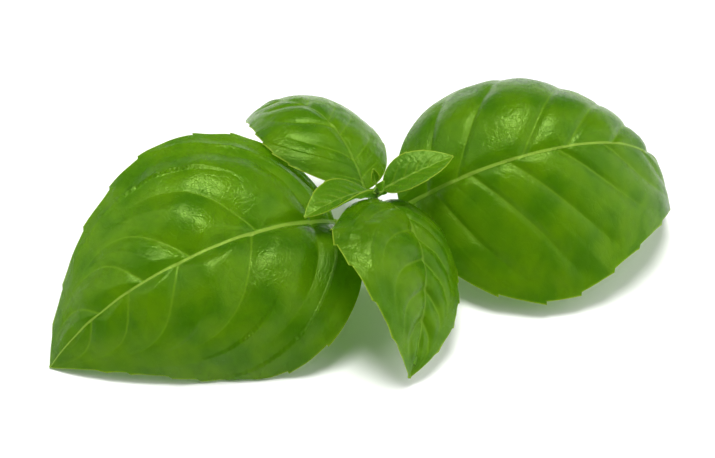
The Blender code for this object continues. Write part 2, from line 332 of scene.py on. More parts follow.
write_places(stem, shape + root)
write_measure(stem, "height", distance)
bpy.ops.object.mode_set(mode="EDIT")
bpy.ops.mesh.select_all(action="SELECT")
bpy.ops.mesh.normals_make_consistent(inside=False)
bpy.ops.object.mode_set(mode="OBJECT")
bpy.ops.object.shade_smooth_by_angle(angle=radians(50.0))

STEM_GREEN = (0.20, 0.40, 0.04)
STEM_PALE = (0.38, 0.56, 0.14)
STEM_ROUGH = (0.35, 0.55)
STREAKS = 900.0             # to the metre
stem_skin = Skin("stem_green")
spot = stem_skin.node("ShaderNodeTexCoord", {}, {}, 3)
streaks = stem_skin.node(
    "ShaderNodeTexNoise", {}, {"Vector": spot, "Scale": STREAKS, "Detail": 3.0}
)
height = stem_skin.node("ShaderNodeAttribute", {"attribute_name": "height"}, {}, 2)
paleness = streaks.ease(0.35, 0.7) * 0.35 + height.ease(LARGE_NODE, 0.0, 0.0, 0.4)
stem_skin.feed(stem_skin.gloss.inputs["Base Color"], paleness.blend(STEM_GREEN, STEM_PALE))
stem_skin.feed(stem_skin.gloss.inputs["Roughness"], streaks.ease(0.3, 0.7, *STEM_ROUGH))
stem_bump = stem_skin.node(
    "ShaderNodeBump", {}, {"Strength": 0.25, "Distance": 0.0001, "Height": streaks}
)
stem_skin.feed(stem_skin.gloss.inputs["Normal"], stem_bump)
stem.data.materials.append(stem_skin.material)
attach(stem, "root")
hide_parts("stem")


# ================================================================ large left leaf
# A broad living leaf, about 74 mm long and a third of a millimetre thick, on a stalk that
# grows out of the stem. Its veins are sunk above and raised below, and the blade swells
# between them; the margin has small blunt teeth.

# LEAF_DARK and YOUNG_DARK colour the random dark patches, which are partly painted shade.
LEAF_DARK = (0.010, 0.050, 0.001)
LEAF_GREEN = (0.033, 0.103, 0.001)
LEAF_FRESH = (0.071, 0.153, 0.001)
VEIN_PALE = (0.125, 0.230, 0.010)
RIB_PALE = (0.240, 0.360, 0.045)
RIM_PALE = (0.300, 0.390, 0.030)
GREEN_SHINE = (0.64, 1.0, 0.20)         # the waxy skin tints what it reflects
LIGHT_THROUGH = (0.56, 0.92, 0.01)
UNDERSIDE_PALE = (0.30, 0.45, 0.13)
THROUGH_ABOVE = 0.22        # share of the light that goes through each side
THROUGH_BELOW = 0.65
ROUGH_ABOVE = (0.20, 0.30)
ROUGH_BELOW = (0.55, 0.70)
WAX_IOR = 1.45
SHINE_ABOVE = 0.48
SHINE_BELOW = 0.20
PALE_BELOW = 0.45           # how far the underside goes towards its own pale green
BROAD_PATCHES = 0.11        # the patterns, in repeats to the millimetre
SMALL_PATCHES = 0.45
VEIN_WANDER = 0.30
WEB_CELLS = 0.42
FINE_WEB_CELLS = 1.5
GLAND_DOTS = 1.7
WANDER_REACH = 2.4          # millimetres by which the net of small veins wanders
# The first share here is for the dark patches: partly the leaf's own mottling, partly painted
# shade.
SHADE_PATCHES_SHOW = 0.30         # how strongly each marking shows on the green
WEB_SHOWS = 0.10
VEIN_GLOW_SHOWS = 0.08
VEINS_SHOW = 0.50
RIM_SHOWS = 0.75
RIB_ROUGHER = 0.08
PATCH_RISE = 0.5            # how far each stands up from the surface or sinks in
WEB_SINK = 0.5
DOT_RISE = 0.12
VEIN_SINK = 0.5
RELIEF_STRENGTH = 0.5
RELIEF_DEPTH = 0.00016      # metres, for a rise of 1


def leaf_skin(name, dark, green, fresh, rib_share, under):
    """Leaf surface: glossy and deep green above, paler and dull below, lit through."""
    skin = Skin(name)
    flat = skin.node("ShaderNodeUVMap", {"uv_map": "blade"}, {})
    from_rib = skin.node("ShaderNodeSeparateXYZ", {}, {"Vector": flat}, 1).size()
    measure = {}
    for key in ("vein", "vein_pitch", "reach", "edge", "rib_width"):
        measure[key] = skin.node("ShaderNodeAttribute", {"attribute_name": key}, {}, 2)
    vein_gap = (measure["vein"] - measure["vein"].nearest()).size() * measure["vein_pitch"]
    vein_width = measure["reach"].ease(0.0, 1.0, 0.34, 0.14)
    vein = (vein_gap / vein_width).ease(1.0, 0.3) * measure["reach"].ease(0.85, 0.3)
    vein_glow = (vein_gap / vein_width).ease(4.5, 0.5) * measure["reach"].ease(0.9, 0.3)
    rib = (from_rib / measure["rib_width"]).ease(1.15, 0.75)
    rim = measure["edge"].ease(0.30, 0.05)

    broad = skin.node(
        "ShaderNodeTexNoise", {}, {"Vector": flat, "Scale": BROAD_PATCHES, "Detail": 2.0}
    )
    patches = skin.node(
        "ShaderNodeTexNoise", {}, {"Vector": flat, "Scale": SMALL_PATCHES, "Detail": 4.0}
    )
    bent = skin.node(
        "ShaderNodeTexNoise", {}, {"Vector": flat, "Scale": VEIN_WANDER, "Detail": 1.0}, 1
    )
    shaken = skin.node(
        "ShaderNodeVectorMath", {"operation": "MULTIPLY_ADD"},
        {0: bent, 1: (WANDER_REACH, WANDER_REACH, 0.0), 2: flat},
    )
    cell_edges = {"feature": "DISTANCE_TO_EDGE"}
    web = skin.node(
        "ShaderNodeTexVoronoi", cell_edges, {"Vector": shaken, "Scale": WEB_CELLS}
    )
    fine_web = skin.node(
        "ShaderNodeTexVoronoi", cell_edges, {"Vector": shaken, "Scale": FINE_WEB_CELLS}
    )
    net = web.ease(0.10, 0.0) * 0.6 + fine_web.ease(0.14, 0.0) * 0.4
    glands = skin.node("ShaderNodeTexVoronoi", {}, {"Vector": flat, "Scale": GLAND_DOTS})
    dots = glands.ease(0.16, 0.08)

    colour = broad.ease(0.35, 0.65).blend(green, fresh)
    # Random dark patches in two sizes: partly the leaf's own mottling, partly painted shade
    # standing for the darker hollows of the blade.
    colour = (patches.ease(0.35, 0.75) * SHADE_PATCHES_SHOW).blend(colour, dark)
    colour = (broad.ease(0.52, 0.30) * SHADE_PATCHES_SHOW).blend(colour, dark)
    colour = (net * WEB_SHOWS).blend(colour, fresh)
    colour = (vein_glow * VEIN_GLOW_SHOWS).blend(colour, VEIN_PALE)
    colour = (vein * VEINS_SHOW).blend(colour, VEIN_PALE)
    colour = (rim * RIM_SHOWS).blend(colour, RIM_PALE)
    colour = (rib * rib_share).blend(colour, RIB_PALE)
    if under:
        colour = skin.node(
            "ShaderNodeMix", {"data_type": "RGBA"},
            {0: PALE_BELOW, 6: colour, 7: UNDERSIDE_PALE}, 2,
        )
    rough_low, rough_high = ROUGH_BELOW if under else ROUGH_ABOVE
    roughness = patches.ease(0.3, 0.7, rough_low, rough_high) + rib * RIB_ROUGHER
    height = patches * PATCH_RISE - net * WEB_SINK + dots * DOT_RISE - vein * VEIN_SINK
    bump = skin.node(
        "ShaderNodeBump", {},
        {"Strength": RELIEF_STRENGTH, "Distance": RELIEF_DEPTH, "Height": height},
    )
    skin.feed(skin.gloss.inputs["Base Color"], colour)
    skin.feed(skin.gloss.inputs["Roughness"], roughness)
    skin.feed(skin.gloss.inputs["Normal"], bump)
    skin.feed(skin.gloss.inputs["IOR"], WAX_IOR)
    skin.feed(skin.gloss.inputs["Specular IOR Level"], SHINE_BELOW if under else SHINE_ABOVE)
    skin.feed(skin.gloss.inputs["Specular Tint"], GREEN_SHINE)
    share = THROUGH_BELOW if under else THROUGH_ABOVE
    through = skin.node("ShaderNodeBsdfTranslucent", {}, {"Color": LIGHT_THROUGH})
    both = skin.node(
        "ShaderNodeMixShader", {}, {0: share, 1: Wire(skin, skin.gloss.outputs[0]), 2: through}
    )
    skin.tree.links.new(both.socket, skin.output.inputs["Surface"])
    return skin.material


leaf_above = leaf_skin("leaf_above", LEAF_DARK, LEAF_GREEN, LEAF_FRESH, 0.85, False)
leaf_below = leaf_skin("leaf_below", LEAF_DARK, LEAF_GREEN, LEAF_FRESH, 0.85, True)

MILLI = 1000.0              # the measures that the skin reads are in millimetres
TIP_WIDTH = 0.0005
TIP_MARGIN = 0.15           # millimetres of pale margin round the very tip
NARROWEST_SLOPE = 0.002     # least half width against which a vein's slope is reckoned
STALK_ROWS = 24
STALK_TO_STEM_GAP = 0.0003
STALK_ROOT = 0.4            # how far out in the stem a stalk begins, of the node's radius
STALK_SWELL = 0.25          # how much wider it is there
STALK_CROWN = 0.35          # the rise of its upper side, of its half width
STALK_SINK = 0.25           # how far its sides lie below its line, of its half width
STALK_ROUND = 0.95          # its depth against its width
STALK_EDGE = 0.00012        # its depth at its very sides
CORNER_ROUNDING = 0.45      # of the square stem, as a share of its radius
BLADE_THICKNESS = 0.00032
THIN_MARGIN = 0.45          # thickness at the margin against the blade's
MARGIN_RUN = 1.2            # millimetres from the margin to the full thickness
TABLE_CLEARANCE = 0.0006    # least height of a blade's upper side
TOOTH_FALL = 0.018          # share of the blade's length in which a tooth ends
TOOTH_RISE = 2.5            # how late before its point a tooth rises
TOOTH_START = 0.85          # share of the way to the margin where a tooth begins
VEIN_END = 0.85             # share of the way to the margin where a vein has faded
STEEPEST_VEIN = 3.0         # along the blade against across it, where a vein fades
VEIN_HALF_WIDTH = 0.7       # millimetres, as are the next three
VEIN_HALF_WIDTH_BELOW = 0.5
RIB_HALF_WIDTH = 1.5
ROOMY_PITCH = 9.0           # between side veins, where the swelling is full
LEAST_ROOM = 0.25
MOST_ROOM = 1.2
SWELL_FROM_RIB = 1.6        # how much faster it rises from the midrib than from a vein
SWELL_POWER = 1.7
STEEP_SWELL = 0.35          # what is left of it where the veins are steep
SWELL_ENDS = (9.0, 5.0)     # how fast it starts at the base and stops at the tip
RIPPLE_ENDS = (6.0, 8.0)
VEIN_DEPTH_BELOW = 1.6      # of a vein under the blade, against its depth above
RIB_TAPER = 0.72            # how much of its width the midrib loses by the tip
RIB_CROWN = 0.45            # the rise of its upper side, of its width
RIB_DEPTH_BELOW = 0.75      # of the rib under the blade, against the stalk's width
RIB_WIDTH_BELOW = 0.9       # against its width above
RIB_THINNING = 0.8          # how much of that depth it loses by the tip
THINNEST = 0.02             # of the thickest part, so that no weight is nothing
MARGIN_ON_STALK = 9.0       # millimetres, so far that a stalk has no pale margin
SHARPEST_SMOOTH = 65.0      # degrees between faces that still shade as one


def compass(bearing):
    bearing = np.radians(bearing)
    return np.stack([np.cos(bearing), np.sin(bearing), np.zeros_like(bearing)], axis=-1)


def turn_about(vector, axis, angle):
    """Each vector turned about its own unit axis."""
    angle = np.radians(angle)[:, None]
    return (
        vector * np.cos(angle)
        + np.cross(axis, vector) * np.sin(angle)
        + axis * np.sum(axis * vector, axis=1)[:, None] * (1.0 - np.cos(angle))
    )


def outline_share(along, base_power, tip_power):
    """Half width of an ovate blade against its widest, which is 1."""
    widest = base_power / (base_power + tip_power)
    greatest = widest ** base_power * (1 - widest) ** tip_power
    along = np.clip(along, 0.0, 1.0)
    return along ** base_power * (1 - along) ** tip_power / greatest


def tooth_line(along, teeth):
    """Blunt teeth that lean towards the tip: a slow rise to each, then a quick fall."""
    line = np.zeros_like(along)
    before = 0.0
    for tooth in teeth:
        rise = np.clip((along - before) / (tooth - before), 0.0, 1.0) ** TOOTH_RISE
        fall = np.clip(1.0 - (along - tooth) / TOOTH_FALL, 0.0, 1.0)
        line = np.where(along > before, np.where(along <= tooth, rise, fall), line)
        before = tooth
    return line


def vein_places(veins, reach):
    """How far along the blade each side vein is, at a share of the way to the margin."""
    lines = [start + slope * reach + hook * reach ** 5 for start, slope, hook in veins]
    return [np.full_like(reach, -0.12)] + lines + [lines[-1] + 0.25]


def half_blade(leaf, sign, along, columns):
    """One half of the blade: offsets across and down, and its veins and swellings."""
    side = leaf["left"] if sign > 0 else leaf["right"]
    share = outline_share(along, *leaf["outline"])
    width = side["width"] * share
    narrowest = np.where(along < 0.5, leaf["stalk_width"] * (1 - along), TIP_WIDTH) / 2
    width = np.maximum(width, narrowest)
    reach = np.linspace(0.0, 1.0, columns + 1)
    angle = (side["fold"] + side["unfold"] * along)[:, None]
    angle = angle + side["curl"] * share[:, None] * reach[None, :]
    angle = np.radians(angle)
    from_rib = width[:, None] * reach[None, :]
    teeth = side["tooth"] * tooth_line(along, side["teeth"])
    near_margin = np.clip((reach - TOOTH_START) / (1.0 - TOOTH_START), 0.0, 1.0)
    from_rib = from_rib + teeth[:, None] * near_margin[None, :] ** 2
    step = np.diff(from_rib, axis=1)
    across = np.zeros_like(angle)
    down = np.zeros_like(angle)
    across[:, 1:] = np.cumsum((np.cos(angle[:, 1:]) + np.cos(angle[:, :-1])) / 2 * step, axis=1)
    down[:, 1:] = np.cumsum((np.sin(angle[:, 1:]) + np.sin(angle[:, :-1])) / 2 * step, axis=1)

    grid_reach = np.broadcast_to(reach, from_rib.shape)
    grid_along = np.broadcast_to(along[:, None], from_rib.shape)
    lines = vein_places(side["veins"], grid_reach)
    count = np.zeros_like(from_rib)
    pitch = np.ones_like(from_rib)
    for index in range(len(lines) - 1):
        below, above = lines[index], lines[index + 1]
        inside = (grid_along >= below) & ((grid_along < above) | (index == len(lines) - 2))
        count = np.where(inside, index + (grid_along - below) / (above - below), count)
        pitch = np.where(inside, (above - below) * leaf["length"], pitch)
    nearest = np.clip(np.rint(count), 1, len(side["veins"])).astype(int) - 1
    slopes = np.array([vein[1] for vein in side["veins"]])[nearest]
    hooks = np.array([vein[2] for vein in side["veins"]])[nearest]
    steepness = (slopes + 5 * hooks * grid_reach ** 4) * leaf["length"]
    steepness = steepness / np.maximum(width[:, None], NARROWEST_SLOPE)
    pitch = pitch / np.sqrt(1 + steepness ** 2)
    return {
        "across": across, "down": down, "from_rib": from_rib, "reach": grid_reach,
        "width": np.broadcast_to(width[:, None], from_rib.shape),
        "vein": count, "vein_pitch": pitch,
        "calm": 1.0 / (1.0 + (steepness / STEEPEST_VEIN) ** 4),
    }


LONGEST_WAVE = 0.28         # of the blade's length
WAVES = (1.0, 0.67, 0.43, 0.29)
WAVES_EACH = 3


def ripple(length_along, from_rib, blade_length, seed):
    """Soft unevenness of a living blade, between about -1 and 1."""
    wave = np.random.default_rng(seed)
    total = np.zeros_like(from_rib)
    longest = LONGEST_WAVE * blade_length
    for size in np.array(WAVES) * longest:
        for _ in range(WAVES_EACH):
            heading = wave.uniform(0.0, pi)
            phase = wave.uniform(0.0, 2 * pi)
            stretch = wave.uniform(0.8, 1.25) * size
            run = length_along * cos(heading) + from_rib * sin(heading)
            total += np.sin(2 * pi * run / stretch + phase) * size / longest
    return total / len(WAVES)


def spine(leaf, along):
    """The midrib from the blade's base, and the ways ahead, left and up along it."""
    slope = np.radians(leaf["pitch"] - leaf["droop"] * along ** leaf["droop_power"])
    heading = leaf["heading"] + leaf["swing"] * along
    ahead = compass(heading) * np.cos(slope)[:, None]
    ahead[:, 2] += np.sin(slope)
    left = turn_about(compass(heading + 90.0), ahead, leaf["roll"] + leaf["twist"] * along)
    up = np.cross(ahead, left)
    steps = (ahead[1:] + ahead[:-1]) / 2 * (leaf["length"] / leaf["rows"])
    midrib = np.concatenate([np.zeros((1, 3)), np.cumsum(steps, axis=0)])
    return midrib, ahead, left, up


def stalk_ends(leaf):
    """Where the stalk begins inside the stem, and where it ends in the blade's base."""
    axis = stem_axis(leaf["node"]) + root
    out = compass(np.array(leaf["bearing"]))
    corner = leaf["node_radius"] * (sqrt(2) * (1 - CORNER_ROUNDING) + CORNER_ROUNDING)
    away = max(-cos(radians(leaf["bearing"] - LEAN_BEARING)), 0.0)
    clear = corner + leaf["stalk_width"] * tan(radians(STEM_LEAN)) * away + STALK_TO_STEM_GAP
    start = axis + out * clear
    base = start + out * leaf["stalk"] + np.array([0.0, 0.0, leaf["stalk_rise"]])
    begin = axis + out * leaf["node_radius"] * STALK_ROOT
    return begin, base


def grow_stalk(leaf, begin, base, ahead, left, spread):
    """The stalk's upper side and its depth, from the stem to the blade's first row."""
    out = compass(np.array(leaf["bearing"]))
    pull = np.linalg.norm(base - begin) / 3
    controls = [begin, begin + out * pull, base - ahead * pull, base]
    t = (np.arange(STALK_ROWS) / STALK_ROWS)[:, None]
    mix = [(1 - t) ** 3, 3 * t * (1 - t) ** 2, 3 * t ** 2 * (1 - t), t ** 3]
    stalk_line = sum(share * point for share, point in zip(mix, controls))
    side_way = compass(np.array(leaf["bearing"] + 90.0)) * (1 - t) + left * t
    side_way /= np.linalg.norm(side_way, axis=1)[:, None]
    stalk_ahead = np.gradient(np.concatenate([stalk_line, base[None]]), axis=0)[:-1]
    stalk_ahead /= np.linalg.norm(stalk_ahead, axis=1)[:, None]
    stalk_up = np.cross(stalk_ahead, side_way)
    swell = 1.0 + STALK_SWELL * (1 - t) ** 3
    half_width = leaf["stalk_width"] / 2 * swell
    arch = np.sqrt(np.clip(1.0 - spread ** 2, 0.0, 1.0))[None, :]
    rise = (arch * STALK_CROWN * half_width - STALK_SINK * half_width) * (1 - t ** 3)
    stalk = (
        stalk_line[:, None]
        + side_way[:, None] * (spread[None, :] * half_width)[..., None]
        + stalk_up[:, None] * rise[..., None]
    )
    return stalk, STALK_EDGE + leaf["stalk_width"] * arch * swell * STALK_ROUND


def whole_blade(leaf, along, halves):
    """What the relief and the skin read at each point of both halves, side by side."""
    at = {}
    for key in ("from_rib", "reach", "width", "vein", "vein_pitch", "calm"):
        side = -1.0 if key == "from_rib" else 1.0
        at[key] = np.concatenate([halves[0][key][:, ::-1], side * halves[1][key][:, 1:]], axis=1)
    at["along"] = np.broadcast_to(along[:, None], at["reach"].shape)
    at["vein_pitch"] = at["vein_pitch"] * MILLI
    to_tip = (1.0 - at["along"]) * leaf["length"] * MILLI + TIP_MARGIN
    at["edge"] = np.minimum((1.0 - at["reach"]) * at["width"] * MILLI, to_tip)
    at["rib_width"] = leaf["rib"] * (1.0 - RIB_TAPER * at["along"]) * MILLI
    at["rib_gap"] = np.abs(at["from_rib"]) * MILLI
    at["vein_gap"] = np.abs(at["vein"] - np.clip(np.rint(at["vein"]), 1, None)) * at["vein_pitch"]
    at["vein_fade"] = np.clip(1.0 - (at["reach"] / VEIN_END) ** 2, 0.0, 1.0) * at["calm"]
    return at


def fade_ends(along, base_rate, tip_rate):
    return np.clip(along * base_rate, 0.0, 1.0) * np.clip((1.0 - along) * tip_rate, 0.0, 1.0)


def relief(leaf, at):
    """How far the upper side stands off its bent sheet, up or down."""
    fade = (1.0 - at["reach"] ** 4) * fade_ends(at["along"], *SWELL_ENDS)
    inner = np.minimum(at["vein_gap"], at["rib_gap"] * SWELL_FROM_RIB)
    risen = 1.0 - np.exp(-(inner / leaf["swell_run"]) ** SWELL_POWER)
    roominess = np.clip(at["vein_pitch"] / ROOMY_PITCH, LEAST_ROOM, MOST_ROOM)
    swelling = leaf["swelling"] * roominess * risen * fade
    swelling = swelling * (STEEP_SWELL + (1.0 - STEEP_SWELL) * at["calm"])
    sunk = np.exp(-(at["vein_gap"] / VEIN_HALF_WIDTH) ** 2)
    channel = leaf["vein_depth"] * sunk * at["vein_fade"] * fade
    rib_sunk = np.exp(-(at["rib_gap"] / RIB_HALF_WIDTH) ** 2)
    rib_groove = leaf["rib_depth"] * rib_sunk * (1.0 - at["along"])
    rib_round = np.clip(1 - (at["rib_gap"] / at["rib_width"]) ** 2, 0.0, 1.0)
    rib_crown = RIB_CROWN * at["rib_width"] / MILLI * rib_round * (1.0 - at["along"])
    length = leaf["length"]
    uneven = leaf["ripple"] * ripple(at["along"] * length, at["from_rib"], length, leaf["seed"])
    uneven = uneven * fade_ends(at["along"], *RIPPLE_ENDS)
    return swelling - channel - rib_groove + rib_crown + uneven


def thickness(leaf, at):
    """Thin at the margin, and thick where the midrib and the veins stand out below."""
    sheet = BLADE_THICKNESS * np.clip(THIN_MARGIN + at["edge"] / MARGIN_RUN, THIN_MARGIN, 1.0)
    rib_below = leaf["stalk_width"] * RIB_DEPTH_BELOW * (1.0 - RIB_THINNING * at["along"])
    rib_below = rib_below * np.exp(-(at["rib_gap"] / (RIB_WIDTH_BELOW * at["rib_width"])) ** 2)
    vein_below = leaf["vein_depth"] * VEIN_DEPTH_BELOW * at["vein_fade"]
    vein_below = vein_below * np.exp(-(at["vein_gap"] / VEIN_HALF_WIDTH_BELOW) ** 2)
    return sheet + rib_below + vein_below


def grow_leaf(name, leaf, materials):
    """A leaf from a flat grid: bent to its midrib, folded, swollen, then thickened."""
    rows, columns = leaf["rows"], leaf["columns"]
    along = np.linspace(0.0, 1.0, rows + 1)
    midrib, ahead, left, up = spine(leaf, along)
    begin, base = stalk_ends(leaf)
    midrib = base + midrib
    halves = [half_blade(leaf, 1.0, along, columns), half_blade(leaf, -1.0, along, columns)]
    sheet = []
    for sign, half in zip((1.0, -1.0), halves):
        sheet.append(
            midrib[:, None]
            + left[:, None] * (sign * half["across"])[..., None]
            - up[:, None] * half["down"][..., None]
        )
    blade = np.concatenate([sheet[0][:, ::-1], sheet[1][:, 1:]], axis=1)
    at = whole_blade(leaf, along, halves)
    normal = np.cross(np.gradient(blade, axis=0), -np.gradient(blade, axis=1))
    normal /= np.maximum(np.linalg.norm(normal, axis=2), 1e-12)[..., None]
    blade = blade + normal * relief(leaf, at)[..., None]
    blade[..., 2] = np.maximum(blade[..., 2], cad_box[0][2] + TABLE_CLEARANCE)

    half_spread = np.linspace(0.0, 1.0, columns + 1)
    spread = np.concatenate([half_spread[::-1], -half_spread[1:]])
    stalk, stalk_depth = grow_stalk(leaf, begin, base, ahead[0], left[0], spread)
    points = np.concatenate([stalk, blade])
    depth = np.concatenate([stalk_depth, thickness(leaf, at)])
    row_total, column_total = points.shape[:2]

    bpy.ops.object.select_all(action="DESELECT")
    bpy.ops.mesh.primitive_grid_add(
        x_subdivisions=row_total - 1, y_subdivisions=column_total - 1, size=1.0
    )
    piece = new_piece(name)
    flat = read_places(piece)
    row = np.rint((flat[:, 0] + 0.5) * (row_total - 1)).astype(int)
    column = np.rint((0.5 - flat[:, 1]) * (column_total - 1)).astype(int)
    write_places(piece, points[row, column])

    for key, on_stalk in (
        ("vein", 0.5), ("vein_pitch", ROOMY_PITCH), ("reach", 0.0), ("edge", MARGIN_ON_STALK),
        ("rib_width", leaf["stalk_width"] * MILLI),
    ):
        stalk_rows = np.full((STALK_ROWS, column_total), on_stalk)
        write_measure(piece, key, np.concatenate([stalk_rows, at[key]])[row, column])
    stalk_length = np.linspace(-leaf["stalk"], 0.0, STALK_ROWS, endpoint=False)
    length_along = np.concatenate([stalk_length, along * leaf["length"]])
    stalk_across = np.broadcast_to(spread * leaf["stalk_width"] / 2, stalk.shape[:2])
    across = np.concatenate([stalk_across, at["from_rib"]])
    corners = np.zeros(len(piece.data.loops), dtype=np.int32)
    piece.data.loops.foreach_get("vertex_index", corners)
    places = np.stack([length_along[row[corners]], across[row[corners], column[corners]]], axis=1)
    sheet_map = piece.data.uv_layers[0]
    sheet_map.name = "blade"
    sheet_map.data.foreach_set("uv", (places * MILLI).astype(np.float32).ravel())

    for material in materials:
        piece.data.materials.append(material)
    deepest = depth.max()
    group = piece.vertex_groups.new(name="thickness")
    for index, weight in enumerate(np.maximum(depth[row, column] / deepest, THINNEST)):
        group.add([index], float(weight), "REPLACE")
    thicken = piece.modifiers.new("thickness", "SOLIDIFY")
    thicken.thickness = deepest
    thicken.offset = -1.0
    thicken.vertex_group = "thickness"
    thicken.material_offset = 1
    thicken.material_offset_rim = 0
    bpy.ops.object.modifier_apply(modifier=thicken.name)
    bpy.ops.object.shade_smooth_by_angle(angle=radians(SHARPEST_SMOOTH))
    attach(piece, "root")
    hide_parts(leaf["cad"])


BROAD = (0.60, 1.05)        # outlines: how full the base is, and the tip
OVATE = (0.68, 0.97)
LARGE_LEFT = dict(
    cad="large_leaf_left", node=LARGE_NODE, node_radius=LARGE_RADIUS,
    bearing=216.0, stalk=0.0057, stalk_rise=0.0020, stalk_width=0.0018, length=0.0740,
    heading=223.0, swing=-36.0, pitch=34.0, droop=94.0, droop_power=1.0,
    roll=-11.0, twist=-5.0, outline=BROAD, rows=250, columns=78,
    swelling=0.00105, swell_run=3.4, vein_depth=0.00026, rib_depth=0.00050,
    rib=0.00044, ripple=0.00040, seed=3,
    left=dict(
        width=0.0305, fold=-20.0, unfold=53.0, curl=74.0,
        tooth=0.0007, teeth=[0.20, 0.33, 0.46, 0.56, 0.65, 0.73, 0.83, 0.88],
        veins=[(0.02, 0.04, 0.30), (0.10, 0.15, 0.75), (0.30, 0.24, 1.25),
               (0.52, 0.26, 0.80), (0.67, 0.20, 0.80), (0.80, 0.18, 0.80)],
    ),
    right=dict(
        width=0.0290, fold=-27.0, unfold=19.0, curl=42.0,
        tooth=0.0008, teeth=[0.18, 0.28, 0.47, 0.59, 0.71, 0.84, 0.92],
        veins=[(0.02, 0.02, 0.30), (0.09, 0.07, 0.58), (0.28, 0.23, 1.20),
               (0.48, 0.25, 1.10), (0.62, 0.17, 1.10), (0.77, 0.16, 1.10)],
    ),
)
grow_leaf("large_basil_leaf_left", LARGE_LEFT, [leaf_above, leaf_below])


# ================================================================ large right leaf
# The other leaf of the lowest pair, about 82 mm long, on the far side of the stem. It
# arches up and rolls over at its end, so that its tip hangs down close to the table.

LARGE_RIGHT = dict(
    cad="large_leaf_right", node=LARGE_NODE, node_radius=LARGE_RADIUS,
    bearing=15.0, stalk=0.0050, stalk_rise=0.0003, stalk_width=0.0018, length=0.0820,
    heading=-14.0, swing=67.0, pitch=41.0, droop=135.0, droop_power=1.5,
    roll=33.0, twist=-19.0, outline=BROAD, rows=260, columns=78,
    swelling=0.00046, swell_run=2.0, vein_depth=0.00036, rib_depth=0.00050,
    rib=0.00044, ripple=0.00030, seed=8,
    left=dict(
        width=0.0325, fold=-18.0, unfold=17.0, curl=88.0,
        tooth=0.0004, teeth=[0.25, 0.38, 0.50, 0.61, 0.70, 0.79, 0.87],
        veins=[(0.08, 0.13, -0.05), (0.17, 0.24, 0.0), (0.35, 0.30, 0.0),
               (0.47, 0.34, 0.05), (0.60, 0.33, 0.10), (0.75, 0.25, 0.30)],
    ),
    right=dict(
        width=0.0305, fold=12.0, unfold=13.0, curl=17.0,
        tooth=0.0008, teeth=[0.16, 0.29, 0.43, 0.58, 0.69, 0.80, 0.90],
        veins=[(0.04, 0.02, 0.05), (0.10, 0.12, 0.14), (0.21, 0.25, 0.02),
               (0.31, 0.33, 0.03), (0.44, 0.42, 0.0), (0.57, 0.45, 0.0), (0.72, 0.40, 0.0)],
    ),
)
grow_leaf("large_basil_leaf_right", LARGE_RIGHT, [leaf_above, leaf_below])


# ================================================================ front middle leaf
# One of the second pair, which grows crosswise over the large leaves. It hangs forwards
# over the gap between them, with its tip close to the table.

middle_above = leaf_skin("middle_leaf_above", LEAF_DARK, LEAF_GREEN, LEAF_FRESH, 0.30, False)
middle_below = leaf_skin("middle_leaf_below", LEAF_DARK, LEAF_GREEN, LEAF_FRESH, 0.60, True)
MIDDLE_FRONT = dict(
    cad="middle_leaf_front", node=MIDDLE_NODE, node_radius=MIDDLE_RADIUS,
    bearing=-47.0, stalk=0.0005, stalk_rise=0.0006, stalk_width=0.0010, length=0.0445,
    heading=-46.0, swing=-77.0, pitch=41.0, droop=99.0, droop_power=0.5,
    roll=-22.0, twist=-39.0, outline=BROAD, rows=200, columns=70,
    swelling=0.00085, swell_run=2.2, vein_depth=0.00034, rib_depth=0.00055,
    rib=0.00032, ripple=0.00034, seed=5,
    left=dict(
        width=0.0135, fold=-5.0, unfold=-9.0, curl=44.0,
        tooth=0.0006, teeth=[0.22, 0.36, 0.49, 0.61, 0.74, 0.86],
        veins=[(0.08, 0.15, 0.3), (0.20, 0.25, 0.5), (0.33, 0.25, 0.6),
               (0.46, 0.25, 0.6), (0.60, 0.22, 0.6), (0.74, 0.20, 0.6)],
    ),
    right=dict(
        width=0.0200, fold=-12.0, unfold=-16.0, curl=74.0,
        tooth=0.0006, teeth=[0.22, 0.37, 0.53, 0.70, 0.83],
        veins=[(0.05, 0.08, 0.30), (0.14, 0.13, 0.50), (0.29, 0.18, 1.00),
               (0.45, 0.18, 1.00), (0.59, 0.18, 1.00), (0.73, 0.18, 1.00)],
    ),
)
grow_leaf("middle_basil_leaf_front", MIDDLE_FRONT, [middle_above, middle_below])


# ================================================================ back middle leaf
# The other leaf of the second pair, as long as the front one but narrower. It stands away
# behind on hardly any stalk and turns to the left.

MIDDLE_BACK = dict(
    cad="middle_leaf_back", node=MIDDLE_NODE, node_radius=MIDDLE_RADIUS,
    bearing=137.0, stalk=0.0003, stalk_rise=0.0008, stalk_width=0.0010, length=0.0445,
    heading=109.0, swing=51.0, pitch=37.0, droop=100.0, droop_power=1.4,
    roll=13.0, twist=-9.0, outline=OVATE, rows=200, columns=60,
    swelling=0.00045, swell_run=2.0, vein_depth=0.00028, rib_depth=0.00030,
    rib=0.00032, ripple=0.00016, seed=2,
    left=dict(
        width=0.0150, fold=-1.0, unfold=0.0, curl=28.0,
        tooth=0.0004, teeth=[0.25, 0.38, 0.50, 0.63, 0.76, 0.88],
        veins=[(0.04, 0.09, 0.07), (0.16, 0.26, 0.50), (0.36, 0.28, 0.50),
               (0.58, 0.26, 0.50), (0.75, 0.22, 0.50)],
    ),
    right=dict(
        width=0.0135, fold=3.0, unfold=0.0, curl=37.0,
        tooth=0.0005, teeth=[0.24, 0.36, 0.48, 0.59, 0.72, 0.85],
        veins=[(0.06, 0.10, 0.10), (0.15, 0.16, 0.10), (0.30, 0.17, 0.15),
               (0.40, 0.19, 0.20), (0.55, 0.20, 0.30), (0.70, 0.20, 0.40)],
    ),
)
grow_leaf("middle_basil_leaf_back", MIDDLE_BACK, [middle_above, middle_below])


# ================================================================ small leaves
# The youngest opened pair, above the middle leaves: narrow, still folded upwards along
# the midrib, and with hardly any teeth yet.

